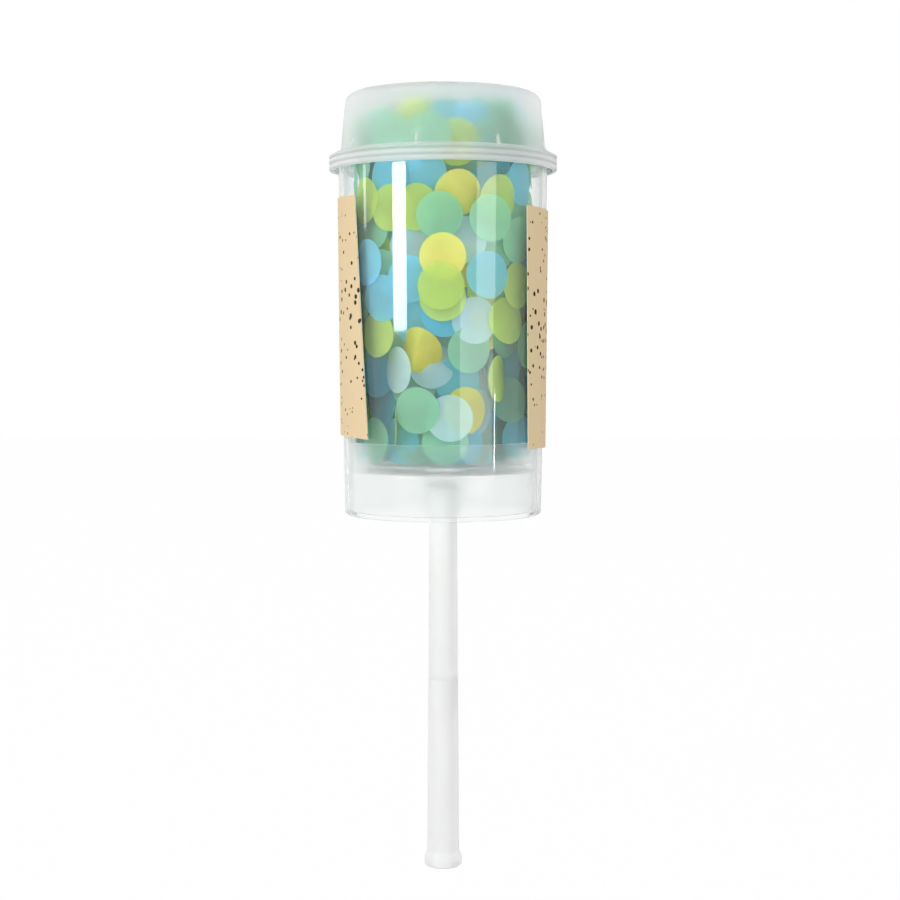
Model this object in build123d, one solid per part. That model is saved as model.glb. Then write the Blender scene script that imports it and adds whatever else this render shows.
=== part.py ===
from build123d import *
import math
import os

# Sizes are in millimetres and angles in degrees. The stick's foot stands at z = 0,
# the axis of the whole popper is Z, and the label's window faces -Y.

# Tube: clear tapered barrel, open at the top, with an inward stop lip at its bottom
stick_reach = 83.4
tube_height = 82.0
tube_bottom_diameter = 45.65
tube_flare = 2.6
tube_wall = 1.0
tube_edge_radius = 0.8
stop_lip_thickness = 1.0
stop_lip_reach = 1.55
rim_lip_reach = 0.85
rim_lip_height = 2.0
rim_lip_chamfer = 0.5

# Cap: frosted dome with a beaded skirt that reaches over the tube's rim lip
cap_rise = 14.6
cap_skirt_wall = 1.0
cap_skirt_depth = 2.9
cap_shoulder_thickness = 1.0
cap_fit_gap = 0.3
cap_grip_gap = 0.15
cap_grip_height = 0.8
cap_corner_chamfer = 0.4
dome_inset = 0.525
dome_taper = 1.2
dome_wall = 1.1
dome_edge_radius = 2.3
shoulder_slope_reach = 1.3
shoulder_slope_drop = 0.95
shoulder_edge_radius = 1.5
skirt_edge_radius = 0.35
skirt_chamfer = 0.6
skirt_groove_depth = 0.25
skirt_groove_width = 0.8
skirt_groove_shares = (0.4, 0.68)
gusset_count = 8
gusset_height = 3.0
gusset_reach = 1.0
gusset_width = 0.6
gusset_turn = -14.0

# Piston: cup whose floor pushes the confetti, with a guiding skirt and a socket for the stick
piston_height = 16.0
piston_floor_rise = 9.2
piston_floor_thickness = 1.5
piston_wall = 0.9
piston_gap = 0.2
piston_boss_diameter = 9.6
rod_plug_depth = 6.0
rod_plug_gap = 0.06

# Push stick: two hollow rods, the upper one plugged into the lower one
upper_rod_top_diameter = 6.5
upper_rod_bottom_diameter = 6.85
upper_rod_bore = 4.0
stick_joint_height = 44.6
spigot_length = 8.0
spigot_diameter = 5.2
spigot_gap = 0.05
spigot_web = 2.0
lower_rod_top_diameter = 7.0
lower_rod_bottom_diameter = 7.5
lower_rod_bore = 4.4
foot_diameter = 8.9
foot_flare_height = 3.7
foot_band_height = 1.7
foot_edge_radius = 0.9

# Label: kraft paper band round the back, its edges slightly askew
label_top_margin = 10.65
label_length = 54.3
label_thickness = 0.25
label_top_gap = 0.1
label_bottom_gap = 0.5
label_slope = 3.6
label_left_angles = (-54.0, -44.7)
label_right_angles = (50.7, 54.0)

# Confetti: loose paper discs, most of them lying against the tube's wall
confetti_diameter = 11.0
confetti_thickness = 0.2
confetti_sides = 10
confetti_gap = 0.12
confetti_lean = 0.8
shell_fill_shares = (0.35, 0.32, 0.33)
shell_turns = (0.0, 150.0, -65.0)
heap_lean = 5.0
heap_turn = 25.0
heap_reach_shares = (1.0, 1.0, 0.86, 0.66, 0.42, 0.0)
confetti_colours = ("lime", "sky_blue", "mint", "ice_blue", "lime", "yellow",
                    "sky_blue", "lime", "deep_blue", "mint", "ice_blue")

cut_overrun = 1.0

# Places along the axis
tube_bottom = stick_reach
tube_top = tube_bottom + tube_height
stop_lip_top = tube_bottom + stop_lip_thickness
cap_top = tube_top + cap_rise
cap_shoulder_top = tube_top + cap_shoulder_thickness
skirt_bottom = tube_top - cap_skirt_depth
piston_bottom = stop_lip_top
piston_rim = piston_bottom + piston_height
piston_floor_top = piston_bottom + piston_floor_rise + piston_floor_thickness
piston_floor_under = piston_bottom + piston_floor_rise
rod_top = piston_bottom + rod_plug_depth

# Radii that more than one piece follows, each worked out from the tube's
tube_top_radius = (tube_bottom_diameter + tube_flare) / 2
rim_lip_radius = tube_top_radius + rim_lip_reach
skirt_inner_radius = rim_lip_radius + cap_fit_gap
skirt_radius = skirt_inner_radius + cap_skirt_wall
dome_bottom_radius = tube_top_radius - dome_inset
dome_inner_radius = dome_bottom_radius - dome_wall


def tube_outer_radius(height):
    return (tube_bottom_diameter + tube_flare * (height - tube_bottom) / tube_height) / 2


def tube_inner_radius(height):
    return tube_outer_radius(height) - tube_wall


def piston_outer_radius(height):
    return tube_inner_radius(height) - piston_gap


def lathe(outline, rounds=()):
    # Revolves an outline of (radius, height) points, with some corners rounded first
    profile = make_face(Polyline(*outline, close=True))
    for corner, radius in rounds:
        nearest = profile.vertices().sort_by_distance(Vector(*corner))[0]
        profile = fillet(nearest, radius)
    return revolve(Plane.XZ * profile, Axis.Z)


def make_tube():
    rim_lip_under = tube_top - rim_lip_height
    stop_lip_radius = tube_inner_radius(tube_bottom) - stop_lip_reach
    bottom_corner = (tube_outer_radius(tube_bottom), tube_bottom)
    outline = [
        (stop_lip_radius, tube_bottom),
        bottom_corner,
        (tube_outer_radius(rim_lip_under), rim_lip_under),
        (rim_lip_radius, rim_lip_under),
        (rim_lip_radius, tube_top - rim_lip_chamfer),
        (rim_lip_radius - rim_lip_chamfer, tube_top),
        (tube_inner_radius(tube_top), tube_top),
        (tube_inner_radius(stop_lip_top), stop_lip_top),
        (stop_lip_radius, stop_lip_top),
    ]
    return lathe(outline, [(bottom_corner, tube_edge_radius)])


def skirt_grooves():
    # Two shallow grooves that divide the skirt's outside into three beads
    skirt_height = cap_shoulder_top - skirt_bottom
    points = []
    for share in skirt_groove_shares:
        middle = cap_shoulder_top - share * skirt_height
        points.append((skirt_radius, middle + skirt_groove_width / 2))
        points.append((skirt_radius - skirt_groove_depth, middle))
        points.append((skirt_radius, middle - skirt_groove_width / 2))
    return points


def make_gusset():
    # Small triangular web between the dome's wall and the shoulder
    root = dome_bottom_radius - dome_wall / 2
    web = make_face(Polyline(
        (root, cap_shoulder_top - cap_shoulder_thickness / 2),
        (dome_bottom_radius + gusset_reach, cap_shoulder_top - cap_shoulder_thickness / 2),
        (dome_bottom_radius + gusset_reach, cap_shoulder_top),
        (root, cap_shoulder_top + gusset_height),
        close=True,
    ))
    return extrude(Plane.XZ * web, gusset_width / 2, both=True)


def make_cap():
    grip_radius = rim_lip_radius + cap_grip_gap
    grip_top = skirt_bottom + cap_grip_height
    ceiling = cap_top - dome_wall
    dome_top_radius = dome_bottom_radius - dome_taper
    top_corner = (dome_top_radius, cap_top)
    slope_corner = (skirt_radius - shoulder_slope_reach, cap_shoulder_top)
    shoulder_corner = (skirt_radius, cap_shoulder_top - shoulder_slope_drop)
    outline = [
        (0, cap_top),
        top_corner,
        (dome_bottom_radius, cap_shoulder_top),
        slope_corner,
        shoulder_corner,
        *skirt_grooves(),
        (skirt_radius, skirt_bottom + skirt_chamfer),
        (skirt_radius - skirt_chamfer, skirt_bottom),
        (grip_radius, skirt_bottom),
        (grip_radius, grip_top),
        (skirt_inner_radius, grip_top + cap_fit_gap - cap_grip_gap),
        (skirt_inner_radius, tube_top - cap_corner_chamfer),
        (skirt_inner_radius - cap_corner_chamfer, tube_top),
        (dome_inner_radius, tube_top),
        (dome_top_radius - dome_wall, ceiling),
        (0, ceiling),
    ]
    rounds = [(top_corner, dome_edge_radius), (slope_corner, shoulder_edge_radius), (shoulder_corner, skirt_edge_radius)]
    shell = lathe(outline, rounds)
    gussets = [Rot(0, 0, gusset_turn - 90 + 360 * i / gusset_count) * make_gusset()
               for i in range(gusset_count)]
    return shell + gussets


def make_piston():
    socket_radius = upper_rod_radius(piston_bottom) + rod_plug_gap
    outline = [
        (0, piston_floor_top),
        (piston_outer_radius(piston_floor_top) - piston_wall, piston_floor_top),
        (piston_outer_radius(piston_rim) - piston_wall, piston_rim),
        (piston_outer_radius(piston_rim), piston_rim),
        (piston_outer_radius(piston_bottom), piston_bottom),
        (piston_outer_radius(piston_bottom) - piston_wall, piston_bottom),
        (piston_outer_radius(piston_floor_under) - piston_wall, piston_floor_under),
        (piston_boss_diameter / 2, piston_floor_under),
        (piston_boss_diameter / 2, piston_bottom),
        (socket_radius, piston_bottom),
        (socket_radius, rod_top),
        (0, rod_top),
    ]
    return lathe(outline)


def upper_rod_radius(height):
    share = (height - stick_joint_height) / (rod_top - stick_joint_height)
    return (upper_rod_bottom_diameter + share * (upper_rod_top_diameter - upper_rod_bottom_diameter)) / 2


def make_upper_rod():
    bore_bottom = stick_joint_height + spigot_web
    spigot_bottom = stick_joint_height - spigot_length
    return lathe([
        (upper_rod_bore / 2, rod_top),
        (upper_rod_top_diameter / 2, rod_top),
        (upper_rod_bottom_diameter / 2, stick_joint_height),
        (spigot_diameter / 2, stick_joint_height),
        (spigot_diameter / 2, spigot_bottom),
        (0, spigot_bottom),
        (0, bore_bottom),
        (upper_rod_bore / 2, bore_bottom),
    ])


def make_lower_rod():
    socket_radius = spigot_diameter / 2 + spigot_gap
    socket_bottom = stick_joint_height - spigot_length
    foot_corner = (foot_diameter / 2, 0)
    outline = [
        (socket_radius, stick_joint_height),
        (lower_rod_top_diameter / 2, stick_joint_height),
        (lower_rod_bottom_diameter / 2, foot_flare_height),
        (foot_diameter / 2, foot_band_height),
        foot_corner,
        (lower_rod_bore / 2, 0),
        (lower_rod_bore / 2, socket_bottom),
        (socket_radius, socket_bottom),
    ]
    return lathe(outline, [(foot_corner, foot_edge_radius)])


def make_label():
    # A conical ring of paper, trimmed by a tilted slab and opened by the window at the front
    top = tube_top - label_top_margin
    bottom = top - label_length
    top_radius = tube_outer_radius(top) + label_top_gap
    bottom_radius = tube_outer_radius(bottom) + label_bottom_gap
    reach = tube_top_radius + label_top_gap + label_bottom_gap + label_thickness + cut_overrun
    slope_reach = reach * math.tan(math.radians(label_slope)) + cut_overrun
    flare = (top_radius - bottom_radius) / label_length * slope_reach
    ring = lathe([
        (bottom_radius - flare, bottom - slope_reach),
        (bottom_radius - flare + label_thickness, bottom - slope_reach),
        (top_radius + flare + label_thickness, top + slope_reach),
        (top_radius + flare, top + slope_reach),
    ])
    slab = Pos(0, 0, (top + bottom) / 2) * Rot(0, label_slope, 0) * Box(2 * reach, 2 * reach, label_length)

    def edge(radius, angle):
        return radius * math.sin(math.radians(angle))

    window = make_face(Polyline(
        (edge(top_radius, label_left_angles[0]), top + slope_reach + cut_overrun),
        (edge(top_radius, label_right_angles[0]), top + slope_reach + cut_overrun),
        (edge(bottom_radius, label_right_angles[1]), bottom - slope_reach - cut_overrun),
        (edge(bottom_radius, label_left_angles[1]), bottom - slope_reach - cut_overrun),
        close=True,
    ))
    return (ring & slab) - extrude(Plane.XZ * window, reach)


def make_confetti():
    # Three shells of discs that face the wall, on golden-angle spirals, and a heap in the dome
    radius = confetti_diameter / 2
    golden_turn = 180 * (3 - math.sqrt(5))
    disc = extrude(RegularPolygon(radius, confetti_sides), confetti_thickness / 2, both=True)
    lean_reach = radius * math.sin(math.radians(confetti_lean))
    heap_pitch = 2 * radius * math.sin(math.radians(heap_lean)) + confetti_thickness + confetti_gap
    heap_bottom = tube_top - heap_pitch
    discs = []

    # The wall shells: the first stands on the piston's rim and the others on its floor
    for shell, fill_share in enumerate(shell_fill_shares):
        rest = piston_rim if shell == 0 else piston_floor_top
        lowest = rest + radius + confetti_gap
        highest = heap_bottom - radius - confetti_gap
        wall_area = 2 * math.pi * tube_inner_radius(piston_rim) * (highest - lowest + confetti_diameter)
        count = int(fill_share * wall_area / (math.pi * radius ** 2))
        for i in range(count):
            height = lowest + (highest - lowest) * i / (count - 1)
            wall = tube_inner_radius(height if shell == 0 else piston_rim) - confetti_gap
            middle = math.sqrt(wall ** 2 - radius ** 2) - lean_reach
            pitch = wall - middle + lean_reach + confetti_thickness + confetti_gap
            lean = confetti_lean * math.sin(golden_turn * i)
            turn = golden_turn * i * (-1) ** shell + shell_turns[shell]
            place = Rot(0, 0, turn) * Pos(middle - shell * pitch, 0, height) * Rot(0, 90 + lean, 0)
            discs.append(place * disc)

    # The heap: rings that close in towards the dome's middle, each disc leaning outwards
    for ring, reach_share in enumerate(heap_reach_shares):
        height = heap_bottom + (ring + 1 / 2) * heap_pitch
        wall = tube_inner_radius(tube_top) if ring == 0 else dome_inner_radius
        reach = (wall - confetti_gap - radius) * reach_share
        half_width = radius + confetti_gap / 2
        count = int(180 / math.degrees(math.asin(half_width / reach))) if reach > half_width else 1
        for i in range(count):
            turn = 360 * i / count + heap_turn * ring
            discs.append(Rot(0, 0, turn) * Pos(reach, 0, height) * Rot(0, heap_lean, 0) * disc)
    return discs


os.makedirs("parts", exist_ok=True)
export_step(make_tube(), "parts/tube.step")
export_step(make_cap(), "parts/cap.step")
export_step(make_piston(), "parts/piston.step")
export_step(make_upper_rod(), "parts/upper_rod.step")
export_step(make_lower_rod(), "parts/lower_rod.step")
export_step(make_label(), "parts/label_band.step")

all_discs = make_confetti()
for colour in sorted(set(confetti_colours)):
    group = [disc for i, disc in enumerate(all_discs)
             if confetti_colours[i % len(confetti_colours)] == colour]
    export_step(Compound(children=group), f"parts/confetti_{colour}.step")
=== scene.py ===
import math

import bpy
import numpy as np
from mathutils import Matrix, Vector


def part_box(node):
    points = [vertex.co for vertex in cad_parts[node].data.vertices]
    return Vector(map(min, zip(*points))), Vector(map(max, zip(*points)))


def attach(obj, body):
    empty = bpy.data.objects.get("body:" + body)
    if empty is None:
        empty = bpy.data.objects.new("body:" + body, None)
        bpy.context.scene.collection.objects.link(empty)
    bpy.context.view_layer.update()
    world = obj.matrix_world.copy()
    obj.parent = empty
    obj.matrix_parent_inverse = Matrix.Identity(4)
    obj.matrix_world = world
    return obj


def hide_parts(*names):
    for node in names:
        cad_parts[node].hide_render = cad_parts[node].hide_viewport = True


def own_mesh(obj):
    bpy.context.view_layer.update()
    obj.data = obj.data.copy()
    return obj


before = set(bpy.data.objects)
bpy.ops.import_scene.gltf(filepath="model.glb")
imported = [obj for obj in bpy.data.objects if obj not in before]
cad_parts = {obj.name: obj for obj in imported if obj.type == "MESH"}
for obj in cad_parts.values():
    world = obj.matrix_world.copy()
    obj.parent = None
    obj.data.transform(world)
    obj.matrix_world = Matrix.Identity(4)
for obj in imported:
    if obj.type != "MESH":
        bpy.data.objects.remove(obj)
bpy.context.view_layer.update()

# Sizes are in millimetres until a mesh is made; the shared frame is in metres
metre = 0.001
angleOfSharpEdges = math.radians(32)


def heightsOf(node):
    low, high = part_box(node)
    return low[2] / metre, high[2] / metre


def radiusOf(node):
    low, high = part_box(node)
    return (high[0] - low[0]) / 2 / metre


def rounded(outline, steps=5, holdingEdge=0.06):
    # Turns each corner that names a radius into an arc; a narrow edge on both sides of it keeps
    # the long faces flat
    points = []
    for i, corner in enumerate(outline):
        here = np.array(corner[:2], float)
        if len(corner) == 2:
            points.append(here)
            continue
        before = np.array(outline[i - 1][:2], float) - here
        after = np.array(outline[(i + 1) % len(outline)][:2], float) - here
        before /= np.linalg.norm(before)
        after /= np.linalg.norm(after)
        half = math.acos(np.clip(before @ after, -1, 1)) / 2
        middle = before + after
        centre = here + middle / np.linalg.norm(middle) * corner[2] / math.sin(half)
        reach = corner[2] / math.tan(half)
        first = here + before * reach - centre
        last = here + after * reach - centre
        turn = math.atan2(first[0] * last[1] - first[1] * last[0], first @ last)
        points.append(here + before * (reach + holdingEdge))
        for step in range(steps + 1):
            angle = turn * step / steps
            cosine, sine = math.cos(angle), math.sin(angle)
            turned = (first[0] * cosine - first[1] * sine, first[0] * sine + first[1] * cosine)
            points.append(centre + turned)
        points.append(here + after * (reach + holdingEdge))
    return points


def lathed(outline, segments):
    # Turns a closed outline of (radius, height) about Z; it runs up the outside, so faces look out
    points, faces, rings = [], [], []
    for radius, height in rounded(outline):
        if radius == 0:  # on the axis, where one point is enough
            rings.append([len(points)] * segments)
            points.append((0, 0, height))
            continue
        rings.append([len(points) + k for k in range(segments)])
        for k in range(segments):
            turn = 2 * math.pi * k / segments
            points.append((radius * math.cos(turn), radius * math.sin(turn), height))
    for i, ring in enumerate(rings):
        below = rings[i - 1]
        for k in range(segments):
            face = tuple(dict.fromkeys((below[k - 1], below[k], ring[k], ring[k - 1])))
            if len(face) > 2:
                faces.append(face)
    return points, faces


def addPiece(name, points, faces, material, body, nodes, sharpAngle=angleOfSharpEdges):
    mesh = bpy.data.meshes.new(name)
    mesh.from_pydata([tuple(c * metre for c in p) for p in points], [], faces)
    mesh.update()
    mesh.shade_smooth()
    if sharpAngle:
        mesh.set_sharp_from_angle(angle=sharpAngle)
    mesh.materials.append(material)
    piece = bpy.data.objects.new(name, mesh)
    bpy.context.scene.collection.objects.link(piece)
    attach(piece, body)
    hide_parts(*nodes)
    return piece


def storeAtPoints(piece, name, values):
    piece.data.attributes.new(name, "FLOAT", "POINT").data.foreach_set("value", values)


def addNode(tree, kind, **settings):
    node = tree.nodes.new(kind)
    for name, value in settings.items():
        setattr(node, name, value)
    return node


def newGroup(name, outputs):
    group = bpy.data.node_groups.new(name, "ShaderNodeTree")
    for label, kind in outputs:
        group.interface.new_socket(label, in_out="OUTPUT", socket_type=kind)
    return group, group.nodes.new("NodeGroupOutput")


def newMaterial(name):
    material = bpy.data.materials.new(name)
    material.use_nodes = True
    tree = material.node_tree
    return material, tree, tree.nodes["Principled BSDF"], tree.nodes["Material Output"]


def rangeOf(tree, value, low, high):
    node = addNode(tree, "ShaderNodeMapRange")
    tree.links.new(value, node.inputs["Value"])
    node.inputs["To Min"].default_value = low
    node.inputs["To Max"].default_value = high
    return node.outputs["Result"]


def addNoise(tree, place, scale, detail, twist=0):
    noise = addNode(tree, "ShaderNodeTexNoise")
    noise.inputs["Scale"].default_value = scale
    noise.inputs["Detail"].default_value = detail
    noise.inputs["Distortion"].default_value = twist
    tree.links.new(place, noise.inputs["Vector"])
    return noise.outputs["Fac"]


def addBump(tree, height, strength, depth):
    bump = addNode(tree, "ShaderNodeBump")
    bump.inputs["Strength"].default_value = strength
    bump.inputs["Distance"].default_value = depth
    tree.links.new(height, bump.inputs["Height"])
    return bump.outputs["Normal"]


# Moulded plastic: slow waves left by the mould and fine handling marks
mould = {"markScale": 420, "markDetail": 5, "waveScale": 190, "waveDetail": 1, "waveStretch": (1, 1, 0.12),
         "bump": 0.012, "bumpDepth": 0.0002}


def makeMouldedSkin():
    group, result = newGroup("mouldedSkin", [("Marks", "NodeSocketFloat"), ("Normal", "NodeSocketVector")])
    place = addNode(group, "ShaderNodeTexCoord").outputs["Object"]
    marks = addNoise(group, place, mould["markScale"], mould["markDetail"])
    stretch = addNode(group, "ShaderNodeMapping")
    stretch.inputs["Scale"].default_value = mould["waveStretch"]
    group.links.new(place, stretch.inputs["Vector"])
    waves = addNoise(group, stretch.outputs["Vector"], mould["waveScale"], mould["waveDetail"])
    group.links.new(marks, result.inputs["Marks"])
    group.links.new(addBump(group, waves, mould["bump"], mould["bumpDepth"]), result.inputs["Normal"])
    return group


# Paper: soft mottling, fine fibres and a bump that follows them
fibres = {"mottleScale": 260, "mottleDetail": 3, "fibreScale": 2600, "fibreDetail": 4, "fibreTwist": 1.5,
          "bump": 0.25, "bumpDepth": 0.0001}


def makePaperFibre():
    group, result = newGroup("paperFibre", [("Mottle", "NodeSocketFloat"), ("Fibre", "NodeSocketFloat"),
                                            ("Normal", "NodeSocketVector")])
    place = addNode(group, "ShaderNodeTexCoord").outputs["Object"]
    mottle = addNoise(group, place, fibres["mottleScale"], fibres["mottleDetail"])
    fibre = addNoise(group, place, fibres["fibreScale"], fibres["fibreDetail"], fibres["fibreTwist"])
    group.links.new(mottle, result.inputs["Mottle"])
    group.links.new(fibre, result.inputs["Fibre"])
    group.links.new(addBump(group, fibre, fibres["bump"], fibres["bumpDepth"]), result.inputs["Normal"])
    return group


mouldedSkin = makeMouldedSkin()
paperFibre = makePaperFibre()


# Plastics: a share that lets light through and a pale share, the haze, that grows where the wall is
# seen at a slant; the tube and cap also store painted shade, in the grooves and at the lip, and where they
# are thick
plastics = {
    "clearPlastic": {
        "colour": (0.985, 0.995, 0.99), "roughness": (0.0, 0.04), "index": 1.06,
        "coat": 1.0, "coatRoughness": 0.03,
        "pale": (0.68, 0.705, 0.7), "slants": (0.55, 0.92), "haze": (0.02, 0.62), "paintedShadeAndThick": True,
    },
    "frostedPlastic": {
        "colour": (0.935, 0.92, 0.93), "roughness": (0.6, 0.72), "index": 1.2,
        "coat": 0, "coatRoughness": 0.3,
        "pale": (0.82, 0.84, 0.835), "slants": (0.3, 0.97), "haze": (0.12, 0.48), "paintedShadeAndThick": True,
    },
    "cupPlastic": {
        "colour": (0.952, 0.962, 0.957), "roughness": (0.55, 0.65), "index": 1.06,
        "coat": 0.6, "coatRoughness": 0.12,
        "pale": (0.84, 0.845, 0.84), "slants": (0.3, 0.9), "haze": (0.02, 0.5), "paintedShadeAndThick": False,
    },
    "milkyPlastic": {
        "colour": (0.97, 0.975, 0.97), "roughness": (0.4, 0.5), "index": 1.2,
        "coat": 0.2, "coatRoughness": 0.3,
        "pale": (0.87, 0.875, 0.87), "slants": (0.1, 0.9), "haze": (0.5, 0.8), "paintedShadeAndThick": False,
    },
}
paleRoughness = 0.6
# Painted shade in the cap's grooves and at the tube's lip darkens the colour towards this share of it
paintedShadeTone = 0.68  # tone at the bottom of a groove
thickHaze = 0.26  # more haze where the plastic is thick


def makePlastic(name):
    plastic = plastics[name]
    material, tree, shader, output = newMaterial(name)
    skin = addNode(tree, "ShaderNodeGroup", node_tree=mouldedSkin)
    shader.inputs["Transmission Weight"].default_value = 1
    shader.inputs["IOR"].default_value = plastic["index"]
    shader.inputs["Coat Weight"].default_value = plastic["coat"]
    shader.inputs["Coat Roughness"].default_value = plastic["coatRoughness"]
    pale = addNode(tree, "ShaderNodeBsdfPrincipled")
    pale.inputs["Roughness"].default_value = paleRoughness
    for target, colour in ((shader, plastic["colour"]), (pale, plastic["pale"])):
        if not plastic["paintedShadeAndThick"]:
            target.inputs["Base Color"].default_value = (*colour, 1)
            continue
        # Painted shade: the stored share darkens the colour towards the groove tone
        paintedShade = addNode(tree, "ShaderNodeAttribute", attribute_name="paintedShade")
        tone = addNode(tree, "ShaderNodeMix", data_type="RGBA")
        tone.inputs["A"].default_value = (*colour, 1)
        tone.inputs["B"].default_value = (*[paintedShadeTone * c for c in colour], 1)
        tree.links.new(paintedShade.outputs["Fac"], tone.inputs["Factor"])
        tree.links.new(tone.outputs["Result"], target.inputs["Base Color"])
    slant = addNode(tree, "ShaderNodeLayerWeight")
    haze = addNode(tree, "ShaderNodeMapRange")
    haze.inputs["From Min"].default_value, haze.inputs["From Max"].default_value = plastic["slants"]
    haze.inputs["To Min"].default_value, haze.inputs["To Max"].default_value = plastic["haze"]
    mix = addNode(tree, "ShaderNodeMixShader")
    links = tree.links
    links.new(rangeOf(tree, skin.outputs["Marks"], *plastic["roughness"]), shader.inputs["Roughness"])
    for target in (shader, pale, slant):
        links.new(skin.outputs["Normal"], target.inputs["Normal"])
    links.new(slant.outputs["Facing"], haze.inputs["Value"])
    share = haze.outputs["Result"]
    if plastic["paintedShadeAndThick"]:
        thick = addNode(tree, "ShaderNodeAttribute", attribute_name="thick")
        more = addNode(tree, "ShaderNodeMath", operation="MULTIPLY_ADD", use_clamp=True)
        more.inputs[1].default_value = thickHaze
        links.new(thick.outputs["Fac"], more.inputs[0])
        links.new(share, more.inputs[2])
        share = more.outputs["Value"]
    links.new(share, mix.inputs["Fac"])
    links.new(shader.outputs["BSDF"], mix.inputs[1])
    links.new(pale.outputs["BSDF"], mix.inputs[2])
    links.new(mix.outputs["Shader"], output.inputs["Surface"])
    return material


clearPlastic = makePlastic("clearPlastic")
frostedPlastic = makePlastic("frostedPlastic")
cupPlastic = makePlastic("cupPlastic")
milkyPlastic = makePlastic("milkyPlastic")
print("stage: plastics ready")

# Tube: clear barrel with a rounded bottom edge, a stop lip inside it and a rim lip at the top
tube = {"wall": 1.0, "bottomRadius": 22.825, "topRadius": 24.125, "bottomEdge": 0.8, "lip": 1.0,
        "lipReach": 1.55, "rimHeight": 2.0, "rimEdge": 0.5, "smallEdge": 0.25, "lipShade": 0.12,
        "segments": 180}
tubeBottom, tubeTop = heightsOf("tube")


def tubeOuter(height):
    share = (height - tubeBottom) / (tubeTop - tubeBottom)
    return tube["bottomRadius"] + share * (tube["topRadius"] - tube["bottomRadius"])


def tubeInner(height):
    return tubeOuter(height) - tube["wall"]


def buildTube():
    small, rim = tube["smallEdge"], tubeTop - tube["rimHeight"]
    lipRadius = tubeInner(tubeBottom) - tube["lipReach"]
    outline = [
        (lipRadius, tubeBottom, small),
        (tubeOuter(tubeBottom), tubeBottom, tube["bottomEdge"]),
        (tubeOuter(rim), rim, small),
        (radiusOf("tube"), rim, small),
        (radiusOf("tube"), tubeTop, tube["rimEdge"]),
        (tubeInner(tubeTop), tubeTop, small),
        (tubeInner(tubeBottom + tube["lip"]), tubeBottom + tube["lip"], small),
        (lipRadius, tubeBottom + tube["lip"], small),
    ]
    points, faces = lathed(outline, tube["segments"])
    piece = addPiece("tubeShell", points, faces, clearPlastic, "barrel", ["tube"])
    lipTop = tubeBottom + tube["lip"] + small
    # Painted shade: the stop lip at the bottom is darkened a little
    storeAtPoints(piece, "paintedShade", [tube["lipShade"] if z < lipTop else 0 for _, _, z in points])
    piece.visible_shadow = False


buildTube()

# Cap: frosted dome on a beaded skirt, with small gussets at the foot of the dome
cap = {"domeBottom": 23.6, "domeTop": 22.4, "wall": 1.1, "topEdge": 2.3, "ceilingEdge": 1.3,
       "foot": 0.4, "shoulder": 1.0, "slopeReach": 1.3, "slopeDrop": 0.6, "slopeEdge": 1.4,
       "beads": 3, "beadEdge": 0.2, "grooveDepth": 0.28, "grooveWidth": 0.45, "grooveEdge": 0.12,
       "bottomEdge": 0.5, "skirtBore": 25.275, "gripBore": 25.125, "gripHeight": 0.8,
       "corner": 0.4, "innerEdge": 0.2, "gussets": 8, "gussetHeight": 3.0, "gussetReach": 1.0,
       "gussetWidth": 0.5, "gussetSink": 0.3, "gussetTurn": -104, "segments": 180}


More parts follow.
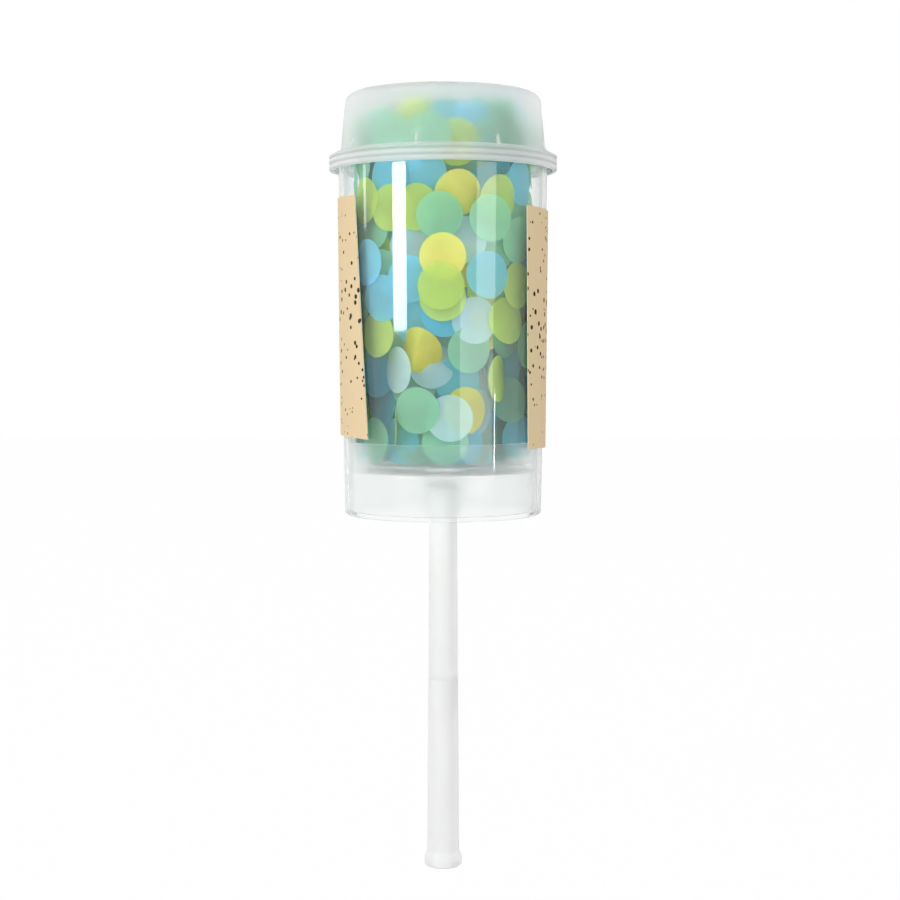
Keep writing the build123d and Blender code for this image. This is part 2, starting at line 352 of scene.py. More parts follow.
def buildCap():
    skirtBottom, top = heightsOf("cap")
    radius = radiusOf("cap")
    shoulder = tubeTop + cap["shoulder"]
    ceiling = top - cap["wall"]
    gripTop = skirtBottom + cap["gripHeight"]
    outline = [
        (0, top),
        (cap["domeTop"], top, cap["topEdge"]),
        (cap["domeBottom"], shoulder, cap["foot"]),
        (radius - cap["slopeReach"], shoulder, cap["slopeEdge"]),
        (radius, shoulder - cap["slopeDrop"], cap["beadEdge"]),
    ]
    for groove in range(1, cap["beads"]):
        middle = shoulder + (skirtBottom - shoulder) * groove / cap["beads"]
        outline.append((radius, middle + cap["grooveWidth"], cap["beadEdge"]))
        outline.append((radius - cap["grooveDepth"], middle, cap["grooveEdge"]))
        outline.append((radius, middle - cap["grooveWidth"], cap["beadEdge"]))
    outline += [
        (radius, skirtBottom, cap["bottomEdge"]),
        (cap["gripBore"], skirtBottom, cap["innerEdge"]),
        (cap["gripBore"], gripTop),
        (cap["skirtBore"], gripTop + cap["skirtBore"] - cap["gripBore"]),
        (cap["skirtBore"], tubeTop - cap["corner"]),
        (cap["skirtBore"] - cap["corner"], tubeTop),
        (cap["domeBottom"] - cap["wall"], tubeTop, cap["innerEdge"]),
        (cap["domeTop"] - cap["wall"], ceiling, cap["ceilingEdge"]),
        (0, ceiling),
    ]
    points, faces = lathed(outline[::-1], cap["segments"])
    for k in range(cap["gussets"]):
        turn = math.radians(cap["gussetTurn"] + 360 * k / cap["gussets"])
        along = np.array((math.cos(turn), math.sin(turn), 0))
        across = np.array((-math.sin(turn), math.cos(turn), 0)) * cap["gussetWidth"] / 2
        root = along * (cap["domeBottom"] - cap["wall"] / 2)
        tip = root + along * (cap["gussetReach"] + cap["wall"] / 2)
        low, high = (0, 0, shoulder - cap["gussetSink"]), (0, 0, shoulder + cap["gussetHeight"])
        start = len(points)
        for side in (-across, across):
            points += [root + side + low, tip + side + low, root + side + high]
        for corners in ((0, 1, 2), (5, 4, 3), (0, 3, 4, 1), (1, 4, 5, 2), (2, 5, 3, 0)):
            faces.append(tuple(start + c for c in corners))
    piece = addPiece("capShell", points, faces, frostedPlastic, "cap", ["cap"])
    # Painted shade: the skirt's grooves are darkened by how deep they are
    depths = [radius - math.hypot(x, y) if z < shoulder else 0 for x, y, z in points]
    grooveDepth, outOfDome = cap["grooveDepth"], cap["domeBottom"] + cap["foot"]
    storeAtPoints(piece, "paintedShade", [depth / grooveDepth if depth < grooveDepth else 0 for depth in depths])
    skirt = [float(z <= shoulder and math.hypot(x, y) > outOfDome) for x, y, z in points]
    storeAtPoints(piece, "thick", skirt)
    piece.visible_shadow = False


buildCap()

# Piston: cup with a floor, a guiding skirt and a socket for the stick
piston = {"gap": 0.2, "wall": 0.9, "floorRise": 9.2, "floor": 1.5, "floorEdge": 0.6, "boss": 4.8,
          "bossEdge": 0.5, "socket": 3.33, "plug": 6.0, "edge": 0.25, "segments": 160}


def buildPiston():
    bottom, rim = heightsOf("piston")
    floorUnder = bottom + piston["floorRise"]
    floorTop = floorUnder + piston["floor"]
    rodTop = bottom + piston["plug"]
    edge = piston["edge"]

    def outer(height):
        return tubeInner(height) - piston["gap"]

    def inner(height):
        return outer(height) - piston["wall"]

    outline = [
        (0, floorTop),
        (inner(floorTop), floorTop, piston["floorEdge"]),
        (inner(rim), rim, edge),
        (outer(rim), rim, edge),
        (outer(bottom), bottom, edge),
        (inner(bottom), bottom, edge),
        (inner(floorUnder), floorUnder, piston["floorEdge"]),
        (piston["boss"], floorUnder, piston["bossEdge"]),
        (piston["boss"], bottom, edge),
        (piston["socket"], bottom, edge),
        (piston["socket"], rodTop),
        (0, rodTop),
    ]
    points, faces = lathed(outline[::-1], piston["segments"])
    piece = addPiece("pistonCup", points, faces, cupPlastic, "plunger", ["piston"])
    piece.visible_shadow = False


buildPiston()

# Push stick: two hollow rods, the lower one slightly thicker and flared at its foot
stick = {"upperTop": 3.25, "upperBottom": 3.425, "upperBore": 2.0, "spigot": 2.6, "web": 2.0,
         "lowerTop": 3.5, "lowerBottom": 3.75, "lowerBore": 2.2, "socket": 2.65, "jointEdge": 0.2,
         "flare": 3.7, "flareEdge": 2.0, "band": 1.7, "bandEdge": 0.5, "footEdge": 0.8, "edge": 0.3,
         "segments": 64}


def buildStick():
    spigotEnd, rodTop = heightsOf("upper_rod")
    foot, joint = heightsOf("lower_rod")
    footRadius = radiusOf("lower_rod")
    edge = stick["edge"]
    upper = [
        (stick["upperBore"], rodTop),
        (stick["upperTop"], rodTop, edge),
        (stick["upperBottom"], joint),
        (stick["spigot"], joint),
        (stick["spigot"], spigotEnd, edge),
        (0, spigotEnd),
        (0, joint + stick["web"]),
        (stick["upperBore"], joint + stick["web"]),
    ]
    lower = [
        (stick["socket"], joint),
        (stick["lowerTop"], joint, stick["jointEdge"]),
        (stick["lowerBottom"], foot + stick["flare"], stick["flareEdge"]),
        (footRadius, foot + stick["band"], stick["bandEdge"]),
        (footRadius, foot, stick["footEdge"]),
        (stick["lowerBore"], foot, edge),
        (stick["lowerBore"], spigotEnd),
        (stick["socket"], spigotEnd),
    ]
    for name, outline, node in (("stickUpper", upper, "upper_rod"), ("stickLower", lower, "lower_rod")):
        points, faces = lathed(outline[::-1], stick["segments"])
        piece = addPiece(name, points, faces, milkyPlastic, "plunger", [node])
        piece.visible_shadow = False


buildStick()
print("stage: plastic pieces ready")


# Kraft paper with a scatter of small printed dots, thickest at middle height
kraft = {"colour": (0.74, 0.56, 0.32), "pale": (0.82, 0.66, 0.42), "inside": (0.8, 0.77, 0.7),
         "ink": (0.035, 0.02, 0.012), "cell": 2.0, "dot": 0.6, "smallest": 0.35,
         "middle": 130, "spread": 30, "roughness": (0.7, 0.9), "specular": 0.25}


def makeKraftPaper():
    material, tree, shader, _ = newMaterial("kraftPaper")
    paper = addNode(tree, "ShaderNodeGroup", node_tree=paperFibre)
    place = addNode(tree, "ShaderNodeTexCoord")
    cells = addNode(tree, "ShaderNodeTexVoronoi")
    cells.inputs["Scale"].default_value = 1 / (kraft["cell"] * metre)
    split = addNode(tree, "ShaderNodeSeparateXYZ")
    rise = addNode(tree, "ShaderNodeMath", operation="SUBTRACT")
    rise.inputs[1].default_value = kraft["middle"] * metre
    away = addNode(tree, "ShaderNodeMath", operation="ABSOLUTE")
    size = addNode(tree, "ShaderNodeMapRange")
    size.inputs["From Max"].default_value = kraft["spread"] * metre
    size.inputs["To Min"].default_value = kraft["dot"] / kraft["cell"]
    size.inputs["To Max"].default_value = kraft["dot"] / kraft["cell"] * kraft["smallest"]
    inside = addNode(tree, "ShaderNodeMath", operation="LESS_THAN")
    tone = addNode(tree, "ShaderNodeMix", data_type="RGBA")
    tone.inputs["A"].default_value = (*kraft["colour"], 1)
    tone.inputs["B"].default_value = (*kraft["pale"], 1)
    printed = addNode(tree, "ShaderNodeMix", data_type="RGBA")
    printed.inputs["B"].default_value = (*kraft["ink"], 1)
    inner = addNode(tree, "ShaderNodeAttribute", attribute_name="inside")
    faced = addNode(tree, "ShaderNodeMix", data_type="RGBA")
    faced.inputs["B"].default_value = (*kraft["inside"], 1)
    links = tree.links
    links.new(place.outputs["Object"], cells.inputs["Vector"])
    links.new(place.outputs["Object"], split.inputs["Vector"])
    links.new(split.outputs["Z"], rise.inputs[0])
    links.new(rise.outputs[0], away.inputs[0])
    links.new(away.outputs[0], size.inputs["Value"])
    links.new(cells.outputs["Distance"], inside.inputs[0])
    links.new(size.outputs["Result"], inside.inputs[1])
    links.new(paper.outputs["Fibre"], tone.inputs["Factor"])
    links.new(tone.outputs["Result"], printed.inputs["A"])
    links.new(inside.outputs[0], printed.inputs["Factor"])
    links.new(printed.outputs["Result"], faced.inputs["A"])
    links.new(inner.outputs["Fac"], faced.inputs["Factor"])
    links.new(faced.outputs["Result"], shader.inputs["Base Color"])
    links.new(rangeOf(tree, paper.outputs["Mottle"], *kraft["roughness"]), shader.inputs["Roughness"])
    links.new(paper.outputs["Normal"], shader.inputs["Normal"])
    shader.inputs["Specular IOR Level"].default_value = kraft["specular"]
    return material


# Label: paper band round the back, its front edges slightly askew
label = {"topMargin": 10.65, "length": 54.3, "thickness": 0.25, "topGap": 0.1, "bottomGap": 0.5,
         "slope": 3.6, "leftTop": -54, "leftBottom": -44.7, "rightTop": 50.7, "rightBottom": 54,
         "columns": 150, "rows": 24}


def buildLabel():
    top = tubeTop - label["topMargin"]
    bottom = top - label["length"]
    slope = math.tan(math.radians(label["slope"]))
    columns, rows = label["columns"], label["rows"]
    points, faces = [], []

    def between(bottomKey, topKey, share):
        return label[bottomKey] + share * (label[topKey] - label[bottomKey])

    for layer in (0, 1):
        for row in range(rows + 1):
            share = row / rows
            left = between("leftBottom", "leftTop", share) + 360  # round the back
            right = between("rightBottom", "rightTop", share)
            gap = between("bottomGap", "topGap", share) + layer * label["thickness"]
            for column in range(columns + 1):
                turn = math.radians(right + (left - right) * column / columns)
                height = bottom + share * label["length"] - tubeOuter(bottom) * math.sin(turn) * slope
                radius = tubeOuter(height) + gap
                points.append((radius * math.sin(turn), -radius * math.cos(turn), height))
    width = columns + 1
    sheet = width * (rows + 1)
    for row in range(rows):
        for column in range(columns):
            a = row * width + column
            faces.append((a, a + width, a + width + 1, a + 1))
            faces.append((sheet + a, sheet + a + 1, sheet + a + width + 1, sheet + a + width))
    border = list(range(columns))
    border += [row * width + columns for row in range(rows)]
    border += [rows * width + column for column in range(columns, 0, -1)]
    border += [row * width for row in range(rows, 0, -1)]
    for a, b in zip(border, border[1:] + border[:1]):
        faces.append((a, b, sheet + b, sheet + a))
    piece = addPiece("labelBand", points, faces, makeKraftPaper(), "barrel", ["label_band"])
    storeAtPoints(piece, "inside", [1.0] * sheet + [0.0] * sheet)


buildLabel()
print("stage: label ready")

# Confetti: round pieces of dyed tissue paper, lying over one another from the wall inwards
confetti = {
    "radius": 5.25, "sides": 22, "rings": (0.4, 0.75, 1.0), "seed": 11,
    "gap": 0.16, "give": 1.6, "restPercent": 30,  # how closely one sheet lies on another
    "bottom": 95.6, "top": 176.8, "grid": 0.4,
    "reach": 20.75, "core": 11.0,  # the wall is unrolled at the first, no sheet hangs within the second
    "reachHeights": (127, 134, 160, 166, 172, 176),
    "reaches": (20.75, 22.0, 22.1, 21.95, 21.65, 21.3),  # how far out sheets may lie at those heights
    "wallCount": 480, "outerCount": 190, "wallTries": 24, "sightAngle": 42, "steepest": 1.3,
    "outerLean": 1.5, "innerLean": 6, "wallCurl": (-0.004, 0.012),
    "lowEvery": 5, "lowBand": 1,  # one in five goes to the cup
    "innerCount": 260, "innerReach": 10.5,
    "heapTries": 6, "heapCurl": (-0.01, 0.01),
    "lit": 1.2, "fade": 6.5, "lid": 0.22, "cup": 0.62, "rimFade": 3.0, "spread": 0.3,  # loss of light
}
# Flatter sheets on the floor of the cup and in the dome
heaps = [
    {"start": 95.6, "ceiling": 99.5, "count": 40, "reach": 13.0, "lean": 4},
    {"start": 174.6, "ceiling": 176.6, "count": 90, "reach": 19.6, "lean": 3},
]
# Shares are of the sheets in sight and of those behind; light that has passed other sheets turns the
# deep ones towards teal
tissues = {
    "lime": {"colour": (0.6, 0.78, 0.12), "share": 0.24, "innerShare": 0.03, "deepHue": 0.02},
    "sky_blue": {"colour": (0.18, 0.64, 0.94), "share": 0.2, "innerShare": 0.13, "deepHue": -0.055},
    "mint": {"colour": (0.25, 0.67, 0.4), "share": 0.24, "innerShare": 0.64, "deepHue": 0.05},
    "ice_blue": {"colour": (0.54, 0.8, 0.87), "share": 0.14, "innerShare": 0.02, "deepHue": -0.03},
    "yellow": {"colour": (0.95, 0.82, 0.06), "share": 0.08, "innerShare": 0.0, "deepHue": 0.0},
    "deep_blue": {"colour": (0.03, 0.5, 0.88), "share": 0.1, "innerShare": 0.18, "deepHue": -0.055},
}
# Pairs of values and saturations are for the deepest sheets and for those in full light
tissuePaper = {"glow": 0.42, "cover": (0.6, 0.8), "tint": 0.75, "values": (0.52, 1.37),
               "saturations": (1.2, 0.9), "sameHue": 0.5, "roughness": 0.65, "specular": 0.2}

# Pieces that lie in the window, front ones first: colour, angle from the front, height, lean sideways,
# lean upwards, fold
windowPieces = [
    ("mint", 72, 168.3, 0, 0, 0),
    ("mint", -76, 168.3, 0, 0, 0),
    ("mint", -9, 168.5, 0, -8, 0),
    ("lime", 9, 167, 0, 12, 0),
    ("sky_blue", 20, 171, 6, -6, 0),
    ("mint", 36, 168.5, 0, 0, 0),
    ("mint", -34, 168.5, 0, -4, 0),
    ("sky_blue", 4, 171.5, 0, -10, 0),
    ("lime", -22, 172.5, 0, -20, 0),
    ("mint", -50, 170.5, 0, 0, 0),
    ("mint", 52, 169.5, 0, 0, 0),
    ("mint", 46, 172.5, 0, 0, 0),
    ("mint", 30, 172.5, 0, -12, 0),
    ("sky_blue", 62, 171.5, 0, 0, 0),
    ("lime", -1, 135.5, 0, 4, 0),
    ("yellow", 0, 142, 3, -4, 0),
    ("mint", -2, 151, -6, 5, 0),
    ("mint", 30, 150.5, 4, 0, 0),
    ("lime", 37, 155, -4, 6, 0),
    ("yellow", 10, 156, 0, 18, 14),
    ("lime", -18, 153, 5, -3, 0),
    ("lime", -36, 153, -8, 0, 0),
    ("sky_blue", -39, 160, 0, 0, 0),
    ("sky_blue", -13, 160.5, 4, 12, 0),
    ("mint", 20, 162.5, 0, 25, 0),
    ("sky_blue", 28, 138, 0, 0, 0),
    ("mint", 53, 146, 0, 6, 0),
    ("lime", 55, 136, 0, 0, 0),
    ("lime", 46, 128, 3, -5, 0),
    ("sky_blue", -52, 141, 4, 0, 0),
    ("sky_blue", -41, 133, -6, 4, 0),
    ("ice_blue", 22, 128, 4, 0, 0),
    ("mint", 19, 121.5, -5, 4, 0),
    ("lime", -48, 125, 0, 0, 0),
    ("yellow", -18, 121.5, 10, 14, 34),
    ("ice_blue", -9, 118, -8, -6, 10),
    ("ice_blue", -34, 117, 22, 0, 0),
    ("yellow", -43, 114, 42, 0, 0),
    ("lime", -40, 104.5, 46, 0, 0),
    ("mint", -18, 108, 0, 4, 0),
    ("ice_blue", 5, 106.3, 4, -4, 0),
    ("yellow", 17, 108, -10, 0, 0),
    ("ice_blue", 29, 107.5, -16, 4, 0),
    ("lime", 43, 115, -24, 0, 0),
    ("sky_blue", 12, 114.5, 0, 0, 0),
    ("ice_blue", 24, 114, 0, 0, 0),
    ("deep_blue", 2, 110.5, 4, 4, 0),
    ("lime", 0, 115, 14, 25, 12),
    ("deep_blue", 40, 109, 6, 0, 0),
    ("mint", 48, 116, -34, 8, 0),
    ("lime", 52, 112, -30, -8, 0),
    ("lime", 0, 133, 0, 0, 0),
    ("deep_blue", 1, 129.5, 0, 0, 0),
    ("sky_blue", 60, 159, 0, 0, 0),
    ("mint", 64, 152, 0, 0, 0),
    ("lime", -60, 155, 0, 0, 0),
    ("mint", 54, 156.5, 0, 0, 0),
    ("mint", 2, 101, 0, -15, 0),
    ("sky_blue", -38, 101, 0, 0, 0),
    ("deep_blue", 15, 101, 0, -10, 0),
    ("mint", -20, 101, 0, -10, 0),
    ("mint", 34, 101, 0, 0, 0),
    ("sky_blue", 50, 101, 0, 0, 0),
    ("mint", -56, 101, 0, 0, 0),
]


def makeTissue(name):
    colour = tissues[name]["colour"]
    material, tree, shader, output = newMaterial(name + "Tissue")
    paper = addNode(tree, "ShaderNodeGroup", node_tree=paperFibre)
    shade = addNode(tree, "ShaderNodeAttribute", attribute_name="shade").outputs["Fac"]
    tone = addNode(tree, "ShaderNodeHueSaturation")
    tone.inputs["Color"].default_value = (*colour, 1)
    glow = addNode(tree, "ShaderNodeBsdfTranslucent")
    clear = addNode(tree, "ShaderNodeBsdfTransparent")
    tint = tissuePaper["tint"]
    clear.inputs["Color"].default_value = (*[1 - tint + tint * c for c in colour], 1)
    sheet = addNode(tree, "ShaderNodeMixShader")
    sheet.inputs["Fac"].default_value = tissuePaper["glow"]
    cover = addNode(tree, "ShaderNodeMixShader")
    links = tree.links
    deepHue = tissuePaper["sameHue"] + tissues[name]["deepHue"]
    links.new(rangeOf(tree, shade, *tissuePaper["values"]), tone.inputs["Value"])
    links.new(rangeOf(tree, shade, *tissuePaper["saturations"]), tone.inputs["Saturation"])
    links.new(rangeOf(tree, shade, deepHue, tissuePaper["sameHue"]), tone.inputs["Hue"])
    for target in (shader.inputs["Base Color"], glow.inputs["Color"]):
        links.new(tone.outputs["Color"], target)
    links.new(paper.outputs["Normal"], shader.inputs["Normal"])
    links.new(rangeOf(tree, paper.outputs["Mottle"], *tissuePaper["cover"]), cover.inputs["Fac"])
    links.new(shader.outputs["BSDF"], sheet.inputs[1])
    links.new(glow.outputs["BSDF"], sheet.inputs[2])
    links.new(clear.outputs["BSDF"], cover.inputs[1])
    links.new(sheet.outputs["Shader"], cover.inputs[2])
    links.new(cover.outputs["Shader"], output.inputs["Surface"])
    shader.inputs["Roughness"].default_value = tissuePaper["roughness"]
    shader.inputs["Specular IOR Level"].default_value = tissuePaper["specular"]
    return material


def discGrid():
    # Places on one flat piece: the middle, then rings of points, and the faces between them
    sides = confetti["sides"]
    places, faces = [(0.0, 0.0)], []
    for share in confetti["rings"]:
        for k in range(sides):
            turn = 2 * math.pi * k / sides
            places.append((share * math.cos(turn), share * math.sin(turn)))
    for k in range(sides):
        after = (k + 1) % sides
        faces.append((0, 1 + k, 1 + after))
        for ring in range(1, len(confetti["rings"])):
            inner, outer = 1 + (ring - 1) * sides, 1 + ring * sides
            faces.append((inner + k, outer + k, outer + after, inner + after))
    return np.array(places) * confetti["radius"], faces


class Pile:
    # Sheets laid over one another on a wall: each cell keeps how far in the last sheet lies
    def __init__(self, across, up, depth):
        self.across, self.up, self.depth, self.bare = across, up, depth, depth.copy()

    def lay(self, middle, lean, lift, limit):
        # Finds how far in a sheet at this place must lie, and marks what it covers if that is
        # within the limit
        sideways, upwards = lean
        u = (self.across - middle[0]) / math.cos(sideways)
        v = (self.up - middle[1]) / math.cos(upwards)
        covered = u ** 2 + v ** 2 < (confetti["radius"] + confetti["gap"]) ** 2
        rise = lift(u, v)
        room = (self.depth - rise)[covered]
        # It rests on most of what lies under it and never passes the bare wall
        level = max(room.min(), np.percentile(room, confetti["restPercent"]) - confetti["give"])
        level = min(level, (self.bare - rise)[covered].min()) - confetti["gap"]
        if (level + rise)[covered].min() < limit:
            return None
        self.depth[covered] = np.minimum(self.depth, level + rise)[covered]
        return level

    def slope(self, middle):
        # How the sheets that lie here lean, in degrees
        right, over = self.across - middle[0], self.up - middle[1]
        near = right ** 2 + over ** 2 < confetti["radius"] ** 2
        columns = np.column_stack((right[near], over[near], np.ones(near.sum())))
        fit = np.linalg.lstsq(columns, self.depth[near], rcond=None)[0]
        steepest = confetti["steepest"]
        return np.degrees(np.arctan(np.clip(fit[:2], -steepest, steepest)))

    def openness(self, middle):
        # Nearest to zero where the fewest sheets lie
        right, over = self.across - middle[0], self.up - middle[1]
        near = right ** 2 + over ** 2 < (confetti["radius"] / 2) ** 2
        return (self.depth - self.bare)[near].mean()


def liftOf(lean, fold, curl, creaseTurn):
    # Height of a sheet above its middle: leaning, folded along a crease and curled
    def lift(u, v):
        along = u * math.cos(creaseTurn) + v * math.sin(creaseTurn)
        crease = np.abs(along) * math.tan(math.radians(fold))
        return u * math.sin(lean[0]) + v * math.sin(lean[1]) - crease + curl * along ** 2
    return lift


def buildConfetti():
    rng = np.random.default_rng(confetti["seed"])
    places, discFaces = discGrid()
    u, v = places.T
    radius, reach, grid = confetti["radius"], confetti["reach"], confetti["grid"]
    cupRim = heightsOf("piston")[1]
    names = list(tissues)
    sightShares = [tissues[name]["share"] for name in names]
    innerShares = [tissues[name]["innerShare"] for name in names]
    made = {name: ([], [], []) for name in names}

    def addSheet(name, points):
        # Sheets lose light with their depth in the pile, under the cap and in the cup
        allPoints, allFaces, allShades = made[name]
        start = len(allPoints)
        allPoints.extend(points)
        allFaces.extend(tuple(start + c for c in face) for face in discFaces)
        x, y, z = points.T
        wallReach = np.interp(z, confetti["reachHeights"], confetti["reaches"])
        depth = np.minimum(wallReach - np.hypot(x, y), confetti["top"] - z)
        dim = np.clip((depth - confetti["lit"]) / confetti["fade"], 0, 1)
        lid = confetti["lid"] * np.clip((z - tubeTop) / confetti["rimFade"], 0, 1)
        cup = confetti["cup"] * np.clip((cupRim - z) / confetti["rimFade"], 0, 1)
        allShades.extend((1 - confetti["spread"] * rng.random()) * (1 - dim) * (1 - lid - cup))

    # The wall is unrolled to an arc length at the reach radius, with a margin that wraps round
    arc = math.pi * reach
    edge = arc + 3 * radius  # room for sheets that cross the back
    ups = np.arange(confetti["bottom"] - 1, confetti["top"] + 1, grid)
    across, up = np.meshgrid(np.arange(-edge, edge, grid), ups)
    wall = Pile(across, up, np.interp(up, confetti["reachHeights"], confetti["reaches"]))

    def hang(name, angle, height, sideways, upwards, fold):
        lean = (math.radians(sideways), math.radians(upwards))
        lift = liftOf(lean, fold, rng.uniform(*confetti["wallCurl"]), rng.uniform(0, math.pi))
        middle = math.radians(angle) * reach
        level = wall.lay((middle, height), lean, lift, confetti["core"])
        if level is None:
            return
        for turn in (-2 * arc, 2 * arc):
            if abs(middle + turn) < edge:
                right = (across - middle - turn) / math.cos(lean[0])
                over = (up - height) / math.cos(lean[1])
                covered = right ** 2 + over ** 2 < radius ** 2
                wall.depth[covered] = np.minimum(wall.depth, level + lift(right, over))[covered]
        out = level + lift(u, v)
        turns = middle / reach + u * math.cos(lean[0]) / out
        heights = height + v * math.cos(lean[1])
        addSheet(name, np.column_stack((out * np.sin(turns), -out * np.cos(turns), heights)))

    for windowPiece in windowPieces:
        hang(*windowPiece)
    low, high = confetti["bottom"] + radius, confetti["top"] - radius
    for count in range(confetti["wallCount"]):
        outer = count < confetti["outerCount"]
        top = high if count % confetti["lowEvery"] else low + confetti["lowBand"]
        tries = [(rng.uniform(-180, 180), rng.uniform(low, top)) for _ in range(confetti["wallTries"])]
        angle, height = max(tries, key=lambda t: wall.openness((math.radians(t[0]) * reach, t[1])))
        noise = rng.normal(0, confetti["outerLean" if outer else "innerLean"], 2)
        lean = wall.slope((math.radians(angle) * reach, height)) + noise
        inSight = outer and abs(angle) < confetti["sightAngle"]
        name = rng.choice(names, p=sightShares if inSight else innerShares)
        hang(name, angle, height, lean[0], lean[1], 0)

    # Behind those, loose sheets lie every way
    for _ in range(confetti["innerCount"]):
        out, turn = confetti["innerReach"] * math.sqrt(rng.random()), rng.uniform(0, 2 * math.pi)
        middle = np.array((out * math.cos(turn), out * math.sin(turn), rng.uniform(low, high)))
        normal = rng.normal(0, 1, 3)
        first = np.cross(normal, rng.normal(0, 1, 3))
        first /= np.linalg.norm(first)
        second = np.cross(normal / np.linalg.norm(normal), first)
        addSheet(rng.choice(names, p=innerShares), middle + np.outer(u, first) + np.outer(v, second))

    spread = np.arange(-reach, reach + grid, grid)
    eastings, northings = np.meshgrid(spread, spread)
    for heap in heaps:
        pile = Pile(eastings, northings, np.full_like(eastings, -heap["start"]))
        for _ in range(heap["count"]):
            tries = []
            for _ in range(confetti["heapTries"]):
                out = (heap["reach"] - radius) * math.sqrt(rng.random())
                turn = rng.uniform(0, 2 * math.pi)
                tries.append((out * math.cos(turn), out * math.sin(turn)))
            middle = max(tries, key=pile.openness)
            lean = tuple(np.radians(rng.normal(0, heap["lean"], 2)))
            lift = liftOf(lean, 0, rng.uniform(*confetti["heapCurl"]), rng.uniform(0, math.pi))
            level = pile.lay(middle, lean, lift, -heap["ceiling"])
            if level is None:
                continue
            x, y = middle[0] + u * math.cos(lean[0]), middle[1] + v * math.cos(lean[1])
            addSheet(rng.choice(names, p=sightShares), np.column_stack((x, y, -level - lift(u, v))))

    for name, (points, faces, shades) in made.items():
        material, nodes = makeTissue(name), ["confetti_" + name]
        piece = addPiece("tissue_" + name, points, faces, material, "barrel", nodes, sharpAngle=None)
        storeAtPoints(piece, "shade", shades)
        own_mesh(piece)


buildConfetti()
print("stage: confetti ready")


# Floor and world: white to the camera and in reflections, plain soft light on the object
stage = {"floorSize": 4.0, "floorColour": 0.86, "floorRoughness": 0.9, "shadowShare": 0.025,
         "ambient": 0.72}


def seenDirectly(tree):
    path = addNode(tree, "ShaderNodeLightPath")
    either = addNode(tree, "ShaderNodeMath", operation="MAXIMUM")
    seen = addNode(tree, "ShaderNodeMath", operation="MAXIMUM")
    tree.links.new(path.outputs["Is Camera Ray"], either.inputs[0])
    tree.links.new(path.outputs["Is Glossy Ray"], either.inputs[1])
    tree.links.new(either.outputs[0], seen.inputs[0])
    tree.links.new(path.outputs["Is Transmission Ray"], seen.inputs[1])
    return seen.outputs[0]


def buildFloor():
    half = stage["floorSize"] / 2
    mesh = bpy.data.meshes.new("floor")
    corners = [(-half, -half, 0), (half, -half, 0), (half, half, 0), (-half, half, 0)]
    mesh.from_pydata(corners, [], [(0, 1, 2, 3)])
    material, tree, shader, output = newMaterial("paleFloor")
    shader.inputs["Base Color"].default_value = (*[stage["floorColour"]] * 3, 1)
    shader.inputs["Roughness"].default_value = stage["floorRoughness"]
    white = addNode(tree, "ShaderNodeEmission")
    share = addNode(tree, "ShaderNodeMath", operation="MULTIPLY")
    share.inputs[1].default_value = 1 - stage["shadowShare"]
    mix = addNode(tree, "ShaderNodeMixShader")
    tree.links.new(seenDirectly(tree), share.inputs[0])
    tree.links.new(share.outputs[0], mix.inputs["Fac"])
    tree.links.new(shader.outputs["BSDF"], mix.inputs[1])
    tree.links.new(white.outputs["Emission"], mix.inputs[2])
    tree.links.new(mix.outputs["Shader"], output.inputs["Surface"])
    mesh.materials.append(material)
    floor = bpy.data.objects.new("floor", mesh)
    bpy.context.scene.collection.objects.link(floor)


def buildWorld():
    world = bpy.data.worlds.new("studio")
    world.use_nodes = True
    tree = world.node_tree
    tone = addNode(tree, "ShaderNodeMix", data_type="RGBA")
    tone.inputs["A"].default_value = (*[stage["ambient"]] * 3, 1)
    tone.inputs["B"].default_value = (1, 1, 1, 1)
    tree.links.new(seenDirectly(tree), tone.inputs["Factor"])
    tree.links.new(tone.outputs["Result"], tree.nodes["Background"].inputs["Color"])
    bpy.context.scene.world = world


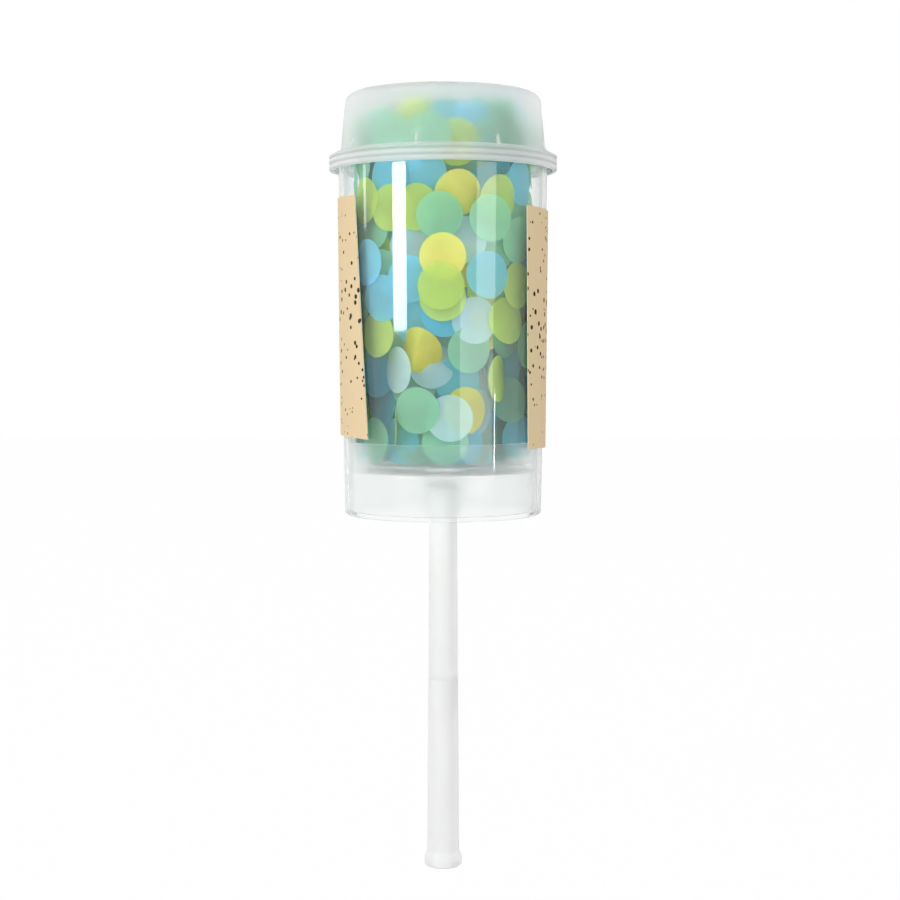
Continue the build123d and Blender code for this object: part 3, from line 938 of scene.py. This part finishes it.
# Lamps stand round the tube: angle from the front (left is minus), distance, heights, width, radiance,
# and whether a lamp is a strip that only reflects or a soft one that only lights
lamps = {
    "keyLamp": dict(angle=-48, distance=1.1, low=0.5, high=1.1, width=0.7, radiance=3.5, reflects=False),
    "fillLamp": dict(angle=8, distance=1.2, low=0.3, high=0.9, width=0.7, radiance=1.2, reflects=False),
    "leftStrip": dict(angle=-48, distance=1.0, low=0.11, high=0.9, width=0.28, radiance=18, reflects=True),
    "sideStrip": dict(angle=-94, distance=1.0, low=0.2, high=0.9, width=0.08, radiance=5, reflects=True),
    "rightStrip": dict(angle=48, distance=1.0, low=0.135, high=0.9, width=0.4, radiance=4, reflects=True),
    "rightGlow": dict(angle=38, distance=1.0, low=-0.1, high=0.135, width=0.7, radiance=3.0, reflects=True),
    "rightEdge": dict(angle=60, distance=1.0, low=-0.3, high=0.06, width=0.025, radiance=22, reflects=True),
}


def buildLamps():
    tubeMiddle = (tubeBottom + tubeTop) / 2 * metre
    for name, lamp in lamps.items():
        light = bpy.data.lights.new(name, "AREA")
        distance, height = lamp["distance"], lamp["high"] - lamp["low"]
        middle = (lamp["low"] + lamp["high"]) / 2
        light.shape = "RECTANGLE"
        light.size = lamp["width"]
        light.size_y = height
        light.energy = lamp["radiance"] * math.pi * lamp["width"] * height
        turn = math.radians(lamp["angle"])
        tilt = 0 if lamp["reflects"] else math.atan2(tubeMiddle - middle, distance)
        piece = bpy.data.objects.new(name, light)
        piece.location = (distance * math.sin(turn), -distance * math.cos(turn), middle)
        piece.rotation_euler = (math.pi / 2 + tilt, 0, turn)
        piece.visible_camera = False
        piece.visible_transmission = False
        piece.visible_glossy = lamp["reflects"]
        piece.visible_diffuse = not lamp["reflects"]
        bpy.context.scene.collection.objects.link(piece)


# Camera at the photograph's viewing angle
view = {"place": (0.0016, -0.390, 0.121), "pitch": 3.35, "lens": 67, "sensor": 36, "clip": 0.01}
bounces = {"max_bounces": 20, "transmission_bounces": 20, "transparent_max_bounces": 16}


def buildCamera():
    scene = bpy.context.scene
    camera = bpy.data.cameras.new("camera")
    camera.lens = view["lens"]
    camera.sensor_width = view["sensor"]
    camera.clip_start = view["clip"]
    piece = bpy.data.objects.new("camera", camera)
    piece.location = view["place"]
    piece.rotation_euler = (math.radians(90 - view["pitch"]), 0, 0)
    scene.collection.objects.link(piece)
    scene.camera = piece
    scene.view_settings.view_transform = "Standard"
    for name, count in bounces.items():
        setattr(scene.cycles, name, count)


buildFloor()
buildWorld()
buildLamps()
buildCamera()
print("stage: studio ready")
